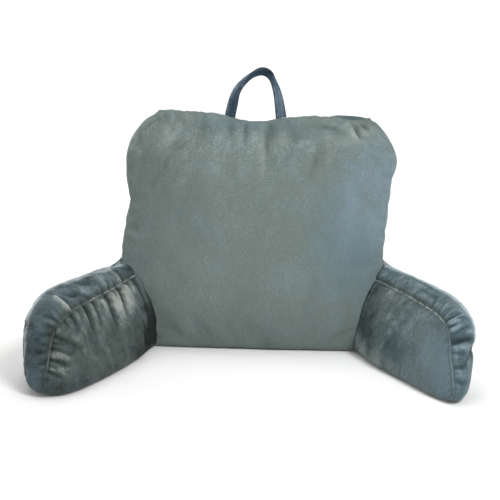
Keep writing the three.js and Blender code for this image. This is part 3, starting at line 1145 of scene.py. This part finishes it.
@dataclass
class Arm:
    """Stuffed arm: an inner and an outer panel with a gusset over the top and down the front end.

    Attributes:
        side: Which arm it is.
        seams: Its seams from the back cushion (along 0) to the front end (along 1), x from the middle.
        spread: How far the outer panel's foot stands wider than its top.
        front_top: How far the front end's top corner is rounded off, in height.
        front_bottom: The same for the inner bottom corner.
        front_outer_bottom: The same for the outer bottom corner.
        panel_folds: Gathers of the inner panel, by length from the back and height.
        gusset_folds: Tucks of the gusset, by length from the back over the top and down, and across.
        laps: Tucks of the gusset that lap over, placed in the same way.
        patches: Brushed patches of the inner panel, by length and height.
        gusset_patches: Those of the gusset, by length and across.
        painted_cool_light_patches: Patches of the inner panel with painted cool light.
        rubbed: Where the inner panel's pile is rubbed into strokes, over its even mottling.
        thread: How much of the inner seam's pale line shows, by length from the back over the top and down.
        rim: Where across the gusset the painted sheen begins that makes the pile paler towards the outer
            panel, by length from the back.
        seam_depth: How deep the seams are drawn in, in millimetres.
        pucker: Height of the ripples beside the seams, in millimetres, on the inner panel and on the gusset.
        tone: How much paler the whole pile is brushed, or darker below zero.
        even_rub: Share of the mottling all over.
        seed: Seed of the filling's unevenness.
        outer_patches: Brushed patches of the outer panel, by length and height.
    """

    side: Side
    seams: tuple[Row, ...]
    spread: float
    front_top: float
    front_bottom: float
    front_outer_bottom: float
    panel_folds: tuple[Fold, ...]
    gusset_folds: tuple[Fold, ...]
    laps: tuple[Lap, ...]
    patches: tuple[Brushed, ...]
    gusset_patches: tuple[Brushed, ...]
    painted_cool_light_patches: tuple[Brushed, ...]
    rubbed: tuple[Brushed, ...]
    thread: tuple[Row, ...]
    rim: tuple[Row, ...]
    seam_depth: float
    pucker: tuple[float, float]
    tone: float
    even_rub: float
    seed: int
    outer_patches: tuple[Brushed, ...] = hand_strokes(
        Brushed((190, 62), (170, 62), 0.08, 70), 120, (16, 5), 61
    )
    shading: FoldShading = FoldShading(
        crest=0.09,
        heights=(-1, 3),
        pucker=0.06,
        full=6,
        seam=0.3,
        seam_pucker=0.1,
        seam_place=1.8,
        seam_reach=2.2,
    )
    # How far to each side of a seam it is drawn in.
    seam_reach: float = 3.2
    # Length of the puckers, the distance from the seam where they are highest, and their reach.
    pucker_length: float = 11
    pucker_place: float = 5
    pucker_reach: float = 6
    # Size and height of the filling's lumps, with the step from their seed, and where they are full.
    waves: tuple[tuple[float, float, int], ...] = ((60, 0.8, 0), (26, 0.3, 1))
    filled_from: float = 10
    # Height up to which the foot is held flat, and the height over which it comes free.
    foot_held: float = 4
    foot_free: float = 10
    # Share of the length from which on the cloth is free of the back, and the share over which it is held.
    rear_free: float = 0.13
    rear_fade: float = 1 / 12
    # How far from a seam the cloth is held, and from where on it may move all the way.
    hold_reach: float = 4
    room_from: float = 5
    # Outward shares over which the panels' looks run out and the gusset's tucks and laps begin.
    panel_fade: float = 1 / 6
    gusset_fade: float = 1 / 12
    lap_fade: float = 1 / 30
    # Distance from the seam at which a fold of the inner panel is full, and its least share of that.
    fold_from: float = 3
    fold_least: float = 0.25
    # How far the gusset's looks reach onto the outer panel.
    gusset_reach: float = 10
    # Distance over which the rim's painted sheen fades in, its width, and the distance over which it ends.
    rim_fade: float = 4
    rim_width: float = 30
    rim_end: float = 12
    # Up to this length from the back, a seam's line is hidden below this height and fades in over the next.
    hidden_to: float = 110
    hidden_below: float = 55
    hidden_fade: float = 20
    seam_lift: float = 1.5
    inner_crown: float = 20
    outer_crown: float = 12
    crown_power: float = 1.3
    front_dome: float = 18
    dome_power: float = 1.5
    end_power: float = 3
    corner_power: float = 5
    bottom_bulge: float = 10
    corner_pull: float = 10
    corner_reach: float = 6
    length: float = 340
    height: float = 125
    width: float = 60
    cells: tuple[int, int, int] = (22, 110, 48)

    def plan(self, along: np.ndarray, outward: np.ndarray, up: np.ndarray) -> np.ndarray:
        """Place in plan, before any swelling: blends of the seams' curves by height and outward share.

        Args:
            along: Share of the way from the back cushion to the front end.
            outward: Share of the way from the inner to the outer panel.
            up: Share of the way from the foot to the top seam.

        Returns:
            x from the middle and y, in millimetres, one row each.
        """
        at = {name: curve(self.seams, name)(along) for name in SEAM_COLUMNS.split()[1:]}
        x = mix(at["foot_x"], at["inner_x"], up)
        y = mix(at["foot_y"], at["inner_y"], up)
        outer_x = at["outer_x"] + self.spread * (1 - up)
        return np.stack([mix(x, outer_x, outward), mix(y, at["outer_y"], outward)])

    def place(self, skin: Skin) -> None:
        """Places the skin's points.

        The panels stand on their seams and swell sideways by a product of half circles; the gusset domes
        over the top and down the front end.

        Args:
            skin: The skin to place.
        """
        x, y, z = skin.cube.T
        outward = (1 + self.side.value * x) / 2
        along, up = (1 - y) / 2, (1 + z) / 2
        at_front = np.maximum(0, -y)
        at_end, at_corner = at_front**self.end_power, at_front**self.corner_power
        dome = arch(x) ** self.dome_power
        crown = np.where(outward > 0.5, self.outer_crown, -self.inner_crown) * np.abs(x)
        swell = crown * (arch(y) * arch(z)) ** self.crown_power
        ahead = self.plan(np.minimum(along + DIRECTION_STEP, 1), outward, up)
        ahead -= self.plan(np.maximum(along - DIRECTION_STEP, 0), outward, up)
        ahead /= np.linalg.norm(ahead, axis=0)
        pulled = self.corner_pull * np.abs(z) ** self.corner_reach * at_corner
        flat = self.plan(along, outward, up) + ahead * (self.front_dome * dome * at_end - pulled)
        flat += np.stack([-ahead[1], ahead[0]]) * swell
        at = {name: curve(self.seams, name)(along) for name in ("inner_top", "outer_top", "dome")}
        top = mix(at["inner_top"], at["outer_top"], outward) - self.front_top * at_corner
        low = self.seam_lift + mix(self.front_bottom, self.front_outer_bottom, outward) * at_corner
        bulge = np.where(z > 0, at["dome"] * dome, self.bottom_bulge * dome)
        height = np.maximum(0, mix(low, top, up) + bulge * z)
        skin.points = np.stack([self.side.value * flat[0], flat[1], height], axis=1) * MM

    def build(
        self, finish: PlushVelvet, stuffing: Stuffing, back: bpy.types.Object, cutter: bpy.types.Object
    ) -> bpy.types.Object:
        """Builds and dresses the arm.

        Args:
            finish: Its velvet.
            stuffing: How it is filled.
            back: The back cushion that it is sewn to.
            cutter: The back cushion, grown by the sewing gap, which is cut out of the arm's rear end.

        Returns:
            The finished piece.
        """
        name = self.side.name.lower()
        skin = cube_skin(*self.cells)
        self.place(skin)
        x, y, z = skin.cube.T
        outward = (1 + self.side.value * x) / 2
        along, up = (1 - y) / 2, (1 + z) / 2
        u, v = along * self.length, up * self.height
        reach = u + self.height - v
        across = outward * self.width
        edge = np.minimum(np.minimum((1 - along) * self.length, (1 - up) * self.height), up * self.height)
        seam = edge + np.minimum(across, self.width - across)
        on_panel = np.clip(1 - outward / self.panel_fade, 0, 1)
        on_outer = np.clip(1 - (1 - outward) / self.panel_fade, 0, 1)
        outer_half = outward > 0.5
        shown = np.clip((v - self.foot_held) / self.foot_free, 0, 1)
        near_gusset = np.where(outer_half, bell(edge, self.gusset_reach), 1)
        folds = folded(self.panel_folds, u, v) * on_panel * np.clip(edge / self.fold_from, self.fold_least, 1)
        tucks = folded(self.gusset_folds, reach, across) * np.clip(outward / self.gusset_fade, 0, 1)
        folds += tucks * near_gusset
        laps = folded(self.laps, reach, across) * np.clip(outward / self.lap_fade, 0, 1) * near_gusset
        ripple = puckers(reach, self.pucker_length, self.seed + 2)
        ripple *= bell(seam - self.pucker_place, self.pucker_reach) * shown
        filled = np.clip(seam / self.filled_from, 0, 1)
        relief = folds + laps + unevenness(skin.points, self.waves, self.seed) * filled
        relief += ripple * mix(self.pucker[1], self.pucker[0], on_panel)
        relief -= self.seam_depth * bell(seam, self.seam_reach)
        skin.raise_by(relief * MM)
        rear = np.clip((self.rear_free - along) / self.rear_fade, 0, 1)
        held = np.maximum(np.maximum(bell(seam, self.hold_reach), rear), 1 - shown)
        stuffing.fill(skin, held, np.clip(seam / self.room_from, 0, 1) * shown * (1 - rear))
        skin.points[:, 2] = np.maximum(skin.points[:, 2], 0)
        nap = brushed(self.patches, u, v) * on_panel
        nap += brushed(self.gusset_patches, reach, across) * (1 - on_panel) * near_gusset
        nap += brushed(self.outer_patches, u, v) * on_outer
        # Painted sheen on the gusset's rim towards the outer panel, and painted cool light over the gusset.
        past_rim = across - curve(self.rim, "across")(reach)
        rim = np.clip(past_rim / self.rim_fade, 0, 1) * near_gusset
        rim *= np.clip((self.rim_width - past_rim) / self.rim_end, 0, 1)
        cooler = (1 - on_panel) * mix(0.4, 1, near_gusset)
        thread = np.where(outer_half, 0.5, curve(self.thread, "shows")(reach))
        above = np.clip((v - self.hidden_below) / self.hidden_fade, 0, 1)
        # The nap holds brushed patches, painted highlights on crests, puckers and laps, and the rim's painted
        # sheen; painted shade goes in troughs and beside seams.
        marks = {
            "nap": self.tone + nap + self.shading.nap(folds, ripple) + 0.3 * laps + 0.4 * rim,
            "rub": self.even_rub + brushed(self.rubbed, u, v) * on_panel,
            "cool": np.clip(brushed(self.painted_cool_light_patches, u, v) * on_panel + 0.9 * cooler - 0.5 * laps, 0, 1),
            "seam": seam * MM,
            "thread": thread * np.where(u < self.hidden_to, above, 1),
            "crease": self.shading.crease(folds, ripple, seam, 1),
        }
        piece = skin.make(f"arm_{name}_velvet", marks)
        subdivide(piece)
        cut_by(piece, cutter)
        mark_nearness(piece, back)
        dress(piece, finish.make(), f"arm_{name}")
        return piece


LEFT_ARM = Arm(
    side=Side.LEFT,
    seams=rows(
        SEAM_COLUMNS,
        (0, 155, 10, 132, 132, 0, 215, 45, 178, 14),
        (0.25, 205, -66, 130, 178, -92, 256, -38, 137, 12),
        (0.5, 244, -158, 123, 203, -174, 303, -122, 130, 15),
        (0.75, 283, -242, 117, 250, -278, 345, -202, 126, 18),
        (0.9, 301, -292, 114, 287, -338, 360, -252, 118, 20),
        (1, 311, -320, 110, 320, -358, 363, -288, 110, 20),
    ),
    spread=3,
    front_top=14,
    front_bottom=10,
    front_outer_bottom=32,
    panel_folds=(
        Fold((112, 125), (122, 70), 3.2, 4.5, 0.5),
        Fold((132, 125), (139, 102), 2.2, 4, 0.7),
        Fold((146, 125), (158, 104), 1.8, 2.5, 0.6),
        Fold((157, 125), (174, 86), 3.8, 7, 0.8),
        Fold((172, 125), (184, 98), 2.4, 3.5, 0.6),
        Fold((190, 125), (210, 68), 4.0, 8, 0.7),
        Fold((209, 125), (221, 96), 2.0, 3, 0.5),
        Fold((226, 125), (240, 82), 3.6, 5.5, 0.5),
        Fold((246, 125), (257, 76), 4.2, 6.5, 0.5),
        Fold((266, 125), (270, 100), 2.4, 2.5, 0.5),
        Fold((285, 125), (283, 92), 4.2, 5, 0.4),
        Fold((308, 123), (296, 100), 2.4, 2.5, 0.5),
        Fold((338, 116), (290, 72), 3.4, 5, 0.6),
        Fold((339, 103), (312, 84), 2.2, 3, 0.5),
        Fold((339, 90), (298, 62), 3.4, 5, -0.5),
        Fold((339, 70), (304, 48), 3.6, 6, 0.7),
        Fold((339, 58), (318, 44), 2.2, 3, 0.5),
        Fold((339, 46), (312, 28), 3.6, 4, 0.5),
    ),
    gusset_folds=(
        Fold((134, -2), (131, 26), 2.0, 3.5, 0.1),
        Fold((275, -2), (277, 22), 2.4, 4.5, 0.1),
        Fold((262, 16), (236, 10), 3, 4, 0.5, Fade.BOTH_ENDS),
        Fold((240, 10), (226, 0), 3, 4, 0.5, Fade.BOTH_ENDS),
        Fold((176, 0), (166, 16), 2.6, 3, 0.6),
        Fold((322, 0), (328, 18), 3, 4, 0.4),
        Fold((337, 0), (345, 12), 2.6, 3, 0.4),
        Fold((350, 0), (362, 18), 3, 3.6, 0.4),
        Fold((366, 0), (374, 12), 2.6, 2.6, 0.4),
        Fold((381, 0), (393, 18), 3, 3.2, 0.4),
        Fold((402, 0), (411, 14), 3, 3, 0.4),
        Fold((345, 64), (354, 20), 6, 4, 0.4),
        Fold((190, 12), (240, 34), 6, 2, 0.5, Fade.BOTH_ENDS),
        Fold((150, 40), (215, 20), 6, 2, 0.5, Fade.BOTH_ENDS),
    ),
    laps=(
        Lap((138, -2), (135, 28), 2.6, 4),
        Lap((279, -2), (281, 22), 3.4, 8),
    ),
    patches=(
        Brushed((98, 42), (62, 52), -0.42),
        Brushed((125, 14), (66, 30), -0.16),
        Brushed((168, 104), (32, 24), 0.24),
        Brushed((240, 60), (60, 40), 0.04),
        Brushed((300, 12), (60, 14), -0.2),
        *hand_strokes(Brushed((190, 98), (110, 26), 0.1, 76), 110, (13, 2.8), 41),
        *hand_strokes(Brushed((190, 60), (140, 60), 0.06, 40), 120, (12, 4), 42),
        *hand_strokes(Brushed((310, 70), (28, 44), 0.08, 25), 40, (10, 2.8), 43),
    ),
    gusset_patches=(
        Brushed((88, 20), (36, 80), -0.3),
        # Painted highlight: the pale strip where the gusset meets the back cushion.
        Brushed((60, 44), (44, 12), 0.9),
        Brushed((400, 30), (60, 60), -0.06),
        Brushed((180, 16), (40, 14), 0.14),
        *hand_strokes(Brushed((250, 26), (190, 30), 0.08, 60), 160, (9, 3.2), 44),
        Brushed((250, 6), (20, 5), 0.2),
    ),
    painted_cool_light_patches=(Brushed((60, 60), (60, 60), 0.1),),
    rubbed=(Brushed((80, 50), (80, 60), 0.3),),
    thread=rows(
        "reach shows",
        (0, 0.8),
        (95, 0.8),
        (125, 0.5),
        (218, 0.6),
        (236, 0.2),
        (345, 0.1),
        (380, 0.3),
        (465, 0),
    ),
    rim=rows("reach across", (60, 16), (137, 25), (240, 37), (340, 42)),
    seam_depth=1.6,
    pucker=(0.9, 1.0),
    tone=-0.13,
    even_rub=0.8,
    seed=11,
)

RIGHT_ARM = Arm(
    side=Side.RIGHT,
    seams=rows(
        SEAM_COLUMNS,
        (0, 150, 10, 132, 130, 0, 205, 45, 170, 12),
        (0.25, 207, -66, 130, 181, -94, 248, -40, 143, 12),
        (0.5, 248, -145, 127, 209, -168, 291, -116, 137, 15),
        (0.75, 281, -220, 122, 250, -244, 330, -190, 130, 16),
        (0.9, 294, -264, 120, 283, -308, 344, -232, 122, 16),
        (1, 300, -290, 118, 308, -342, 351, -260, 114, 16),
    ),
    spread=-3,
    front_top=7,
    front_bottom=8,
    front_outer_bottom=26,
    panel_folds=(
        Fold((60, 62), (170, 38), 14, 1.6, 0.3, Fade.BOTH_ENDS),
        Fold((60, 96), (96, 70), 7, 1.6, 0.5, Fade.BOTH_ENDS),
    ),
    gusset_folds=(
        Fold((262, 4), (248, 20), 3, 1.6, 0.5),
        Fold((290, 2), (276, 22), 3, 2.2, 0.5),
        Fold((312, 0), (304, 20), 2.6, 2.4, 0.6),
        Fold((330, 2), (324, 34), 3.0, 3, 0.6),
        Fold((345, 0), (343, 22), 2.4, 3.4, 0.6),
        Fold((354, 4), (350, 38), 2.6, 2.6, -0.5),
        Fold((368, 0), (372, 50), 4.4, 6, 0.5),
        Fold((392, 72), (394, 28), 10, 9, 0.1),
        Fold((384, 2), (392, 24), 2.8, 2.4, 0.5),
        Fold((396, 30), (412, 10), 3, 2.4, -0.5),
        Fold((408, 0), (412, 32), 3.4, 3, 0.5),
        Fold((430, 2), (438, 26), 4, 1.8, 0.5),
        Fold((160, 34), (245, 26), 5, 1.4, 0.5, Fade.BOTH_ENDS),
        Fold((190, 14), (270, 16), 5, 1.2, 0.5, Fade.BOTH_ENDS),
    ),
    laps=(),
    patches=(
        Brushed((84, 96), (50, 40), -0.3),
        Brushed((62, 118), (30, 14), -0.4),
        Brushed((60, 50), (34, 50), -0.2),
        Brushed((207, 50), (34, 22), -0.26),
        Brushed((140, 60), (26, 34), -0.12),
        Brushed((150, 108), (26, 14), 0.14),
        Brushed((165, 16), (60, 16), 0.1),
        # Painted light: the front end of the panel is paler.
        Brushed((310, 60), (70, 80), 0.1),
        *hand_strokes(Brushed((140, 76), (90, 50), 0.055, 50), 140, (11, 3.6), 51),
    ),
    gusset_patches=(
        Brushed((200, 30), (110, 60), 0.06),
        Brushed((390, 40), (60, 60), -0.08),
        *hand_strokes(Brushed((260, 26), (180, 30), 0.07, 70), 150, (8, 3), 52),
    ),
    painted_cool_light_patches=(Brushed((330, 60), (100, 110), 0.9),),
    rubbed=(
        Brushed((110, 80), (80, 70), 0.2),
        Brushed((320, 50), (90, 100), -0.55),
    ),
    thread=rows("reach shows", (0, 0.5), (100, 0.45), (220, 0.9), (310, 0.9), (345, 0.4), (465, 0.35)),
    rim=rows("reach across", (60, 28), (160, 35), (245, 33), (340, 42), (400, 49)),
    seam_depth=1.2,
    pucker=(0.0, 0.6),
    tone=0.02,
    even_rub=0.8,
    seed=23,
)


# Handle


@dataclass
class CarryingStrap:
    """Carrying strap: a folded velvet strip on edge, sewn into the top seam with both ends.

    Its cross-section is a flat oval with a shallow groove along the middle of each face, carried along a line
    that stands on a plane leaning back.

    Attributes:
        thickness: Its thickness in the middle, in millimetres.
        edge: Thickness of its edges as a share of that.
        groove: Depth of the grooves in millimetres.
        groove_at: Where across it they are, from -1 to 1.
        groove_reach: Their reach to each side.
        kink: How far its edges kink to and fro, in millimetres.
        kink_length: Typical length of a kink, as a share of its line.
        seed: Seed of the kinks.
        foot: Depth of its plane at the foot: behind the top of the front panel.
        foot_height: Height of the foot.
        lean: How far the plane leans back, in degrees.
        stations: Number of cross-sections.
        around: Number of points round each.
        line: Its middle line and its width, in millimetres.
        painted_lustre: Painted highlight and shade on its outer edge, middle and inner edge, along it.
    """

    thickness: float = 5
    edge: float = 0.4
    groove: float = 1.1
    groove_at: float = 0.1
    groove_reach: float = 0.16
    kink: float = 0.9
    kink_length: float = 0.09
    seed: int = 61
    foot: float = BackCushion.front_foot + slope(BackCushion.front_lean) * BackCushion.ear_left + 7
    foot_height: float = BackCushion.ear_left
    lean: float = 8
    stations: int = 96
    around: int = 28
    line: tuple[Row, ...] = rows(
        "along x height width",
        (0, -57, 386, 20),
        (0.14, -50, 423, 19),
        (0.26, -43, 447, 15),
        (0.38, -29, 465, 12),
        (0.46, -16, 475, 11),
        (0.54, 0, 482, 15),
        (0.62, 13, 478, 15),
        (0.7, 21, 467, 12),
        (0.8, 29, 447, 15),
        (0.9, 34, 425, 18),
        (1, 40, 386, 21),
    )
    painted_lustre: tuple[Row, ...] = rows(
        "along outer middle inner",
        (0, 0.1, -0.1, -0.2),
        (0.14, 0.35, -0.15, -0.3),
        (0.26, 0.5, 0.1, -0.3),
        (0.38, 0.5, 0.1, -0.35),
        (0.46, 0.35, -0.2, -0.4),
        (0.54, 0.0, -0.4, -0.45),
        (0.62, -0.25, -0.4, -0.3),
        (0.7, 0.0, 0.0, -0.2),
        (0.8, 0.1, 0.25, -0.1),
        (0.9, -0.05, 0.25, 0.0),
        (1, -0.25, 0.1, 0.05),
    )

    def build(self, finish: PlushVelvet, cutter: bpy.types.Object) -> bpy.types.Object:
        """Builds and dresses the strap.

        Args:
            finish: Its velvet.
            cutter: The back cushion, grown by the sewing gap, which is cut out of the strap's ends.

        Returns:
            The finished piece.
        """
        along, turn = np.meshgrid(
            np.linspace(0, 1, self.stations),
            np.arange(self.around) / self.around * 2 * math.pi,
            indexing="ij",
        )
        at = {name: curve(self.line, name) for name in ("x", "height", "width")}
        dx, dz = (
            at[name](along + DIRECTION_STEP) - at[name](along - DIRECTION_STEP) for name in ("x", "height")
        )
        reach = np.hypot(dx, dz)
        over = np.cos(turn)
        kinks = puckers(along.ravel(), self.kink_length, self.seed).reshape(along.shape) * self.kink
        side = over * at["width"](along) / 2
        fullness = mix(self.edge, 1, arch(over)) * np.tanh(3 * np.abs(np.sin(turn)))
        grooves = self.groove * bell(over - self.groove_at, self.groove_reach)
        face = np.sign(np.sin(turn)) * (fullness * self.thickness / 2 - grooves)
        height = at["height"](along) - side * dx / reach
        depth = self.foot + slope(self.lean) * (height - self.foot_height) + face + kinks * over
        points = np.stack([at["x"](along) + side * dz / reach, depth, height], axis=-1).reshape(-1, 3) * MM
        ring = np.arange(self.around)
        ends = [ring.tolist(), ((self.stations - 1) * self.around + ring)[::-1].tolist()]
        outer, middle, inner = (curve(self.painted_lustre, name)(along) for name in ("outer", "middle", "inner"))
        sides = np.where(over < 0, outer, inner)
        # Painted highlight and shade across the strap and on its kinks, and painted shade in its grooves.
        marks = {
            "nap": (mix(middle, sides, over**2) + 0.12 * kinks * over).ravel(),
            "rub": np.ones(along.size),
            "seam": np.ones(along.size),
            "thread": np.zeros(along.size),
            "join": np.ones(along.size),
            "cool": np.zeros(along.size),
            "crease": (bell(over - self.groove_at, 0.75 * self.groove_reach) * 0.6).ravel(),
        }
        faces = [*ring_quads(self.stations, self.around), *ends]
        piece = smooth_piece("handle_velvet", points, faces, marks)
        subdivide(piece)
        cut_by(piece, cutter)
        dress(piece, finish.make(), "handle")
        return piece


# Studio


@dataclass(frozen=True)
class SoftLight:
    """A large rectangular light.

    Attributes:
        name: Name of the light.
        place: Where it stands, in metres.
        target: What it points at, in metres.
        size: Its side in metres.
        power: Its power in watts.
        colour: Its colour.
    """

    name: str
    place: tuple[float, float, float]
    target: tuple[float, float, float]
    size: float
    power: float
    colour: str

    def make(self) -> None:
        """Adds the light, turned to its target."""
        data = bpy.data.lights.new(self.name, "AREA")
        data.size = self.size
        data.energy = self.power
        data.color = linear(self.colour)[:3]
        lamp = bpy.data.objects.new(self.name, data)
        lamp.location = self.place
        lamp.rotation_euler = (Vector(self.place) - Vector(self.target)).to_track_quat("Z", "Y").to_euler()
        bpy.context.scene.collection.objects.link(lamp)


@dataclass
class Studio:
    """Pale floor, soft lights and the camera at the photograph's place.

    Attributes:
        camera_place: Where the camera is, in metres.
        pitch: How far it looks down, in degrees.
        roll: How far it is rolled, in degrees.
        lens: Focal length in millimetres.
        film: Width of its picture in millimetres.
        floor_reach: Radius of the flat floor in metres.
        cove_radius: Radius of the rim's curve in metres.
        cove_height: Height of the wall in metres.
        cove_rings: Number of rings of points in the curve.
        around: Number of points round each ring.
        air: Strength of the surrounding light.
        lights: The lights.
    """

    camera_place: tuple[float, float, float] = (-0.012, -1.785, 0.5726)
    pitch: float = 13.0
    roll: float = 1.5
    lens: float = 72.0
    film: float = 36.0
    floor_reach: float = 2.8
    cove_radius: float = 1.2
    cove_height: float = 3.6
    cove_rings: int = 17
    around: int = 96
    air: float = 0.36
    lights: tuple[SoftLight, ...] = (
        SoftLight("key_light", (1.3, -1.7, 2.3), (0, -0.1, 0.2), 0.9, 48, "#ffffff"),
        SoftLight("fill_light", (-2.0, -1.6, 1.3), (0, -0.1, 0.2), 1.4, 5, "#ffffff"),
        SoftLight("top_light", (-0.3, 0.5, 2.4), (0, -0.1, 0.2), 1.6, 18, "#ffffff"),
        SoftLight("backdrop_light", (0, 1.0, 2.6), (0, 4.2, 1.0), 2.0, 60, "#ffffff"),
    )

    def cove(self, paper: MattePaper) -> bpy.types.Object:
        """Builds the floor: a disc whose rim curves up into a round wall, as one surface of revolution.

        Args:
            paper: Its finish.

        Returns:
            The floor.
        """
        bend = np.linspace(0, math.pi / 2, self.cove_rings)
        reach = np.concatenate([[1e-4, 1.0], self.floor_reach + self.cove_radius * np.sin(bend)])
        rise = np.concatenate([[0, 0], self.cove_radius * (1 - np.cos(bend))])
        reach, rise = np.append(reach, reach[-1]), np.append(rise, self.cove_height)
        turn = np.arange(self.around) / self.around * 2 * math.pi
        ring = np.stack([np.cos(turn), np.sin(turn), np.ones(self.around)], axis=1)
        points = (ring[None] * np.stack([reach, reach, rise], axis=1)[:, None]).reshape(-1, 3)
        faces = [list(range(self.around)), *ring_quads(len(reach), self.around)]
        floor = smooth_piece("studio_floor", points, faces, {})
        floor.data.materials.append(paper.make())
        return floor

    def build(self, paper: MattePaper) -> None:
        """Builds the floor, the lights, the surrounding light and the camera.

        Args:
            paper: The floor's finish.
        """
        scene = bpy.context.scene
        self.cove(paper)
        for light in self.lights:
            light.make()
        world = bpy.data.worlds.new("studio_air")
        world.use_nodes = True
        background = world.node_tree.nodes["Background"]
        background.inputs["Color"].default_value = linear("#ffffff")
        background.inputs["Strength"].default_value = self.air
        scene.world = world
        scene.view_settings.view_transform = "Standard"
        data = bpy.data.cameras.new("photo_camera")
        data.lens = self.lens
        data.sensor_width = self.film
        camera = bpy.data.objects.new("photo_camera", data)
        down = Matrix.Rotation(math.radians(90 - self.pitch), 4, "X")
        rolled = Matrix.Rotation(math.radians(self.roll), 4, "Z")
        camera.matrix_world = Matrix.Translation(self.camera_place) @ (down @ rolled)
        scene.collection.objects.link(camera)
        scene.camera = camera


def corners(box: tuple[Any, Any]) -> list[list[float]]:
    """A box's lowest and highest corner as plain lists."""
    return [[float(value) for value in corner] for corner in box]


def main() -> None:
    """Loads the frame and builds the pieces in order."""
    logging.basicConfig(level=logging.INFO, format="%(message)s")
    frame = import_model()
    log.info("frame: %d nodes", len(frame["nodes"]))
    back_velvet = PlushVelvet(
        name="back_plush_velvet",
        deep="#495450",
        body="#6b7773",
        pale="#97a29c",
        shade="#3a4543",
        seam="#a3a8a2",
        contrast=(0.14, 0.16, 0.36),
    )
    arm_velvet = PlushVelvet(
        name="arm_plush_velvet",
        deep="#1a2626",
        body="#4b5a59",
        pale="#98a29d",
        shade="#141d1e",
        seam="#b0b3aa",
        contrast=(0.3, 0.26, 0.3),
        sheen=0.5,
    )
    left_velvet = replace(arm_velvet, deep="#1c2524", body="#4d5956", pale="#9ba099")
    strap_velvet = PlushVelvet(
        name="strap_plush_velvet",
        deep="#17232f",
        body="#3c4c59",
        pale="#78899a",
        shade="#121b24",
        seam="#8b9aa6",
    )
    back = BackCushion().build(back_velvet, Stuffing())
    log.info("back cushion: %d faces", len(back.data.polygons))
    cutter = grown(back, SEWN_GAP)
    for arm, velvet, filling in (
        (LEFT_ARM, left_velvet, Stuffing()),
        (RIGHT_ARM, replace(arm_velvet, join_line=7), Stuffing(spare=0.0, bending=4)),
    ):
        piece = arm.build(velvet, filling, back, cutter)
        log.info("%s arm: %d faces", arm.side.name.lower(), len(piece.data.polygons))
    strap = CarryingStrap().build(strap_velvet, cutter)
    log.info("handle: %d faces", len(strap.data.polygons))
    bpy.data.objects.remove(cutter)
    Studio().build(MattePaper("studio_paper", "#f4f4f2"))


if __name__ == "__main__":
    main()
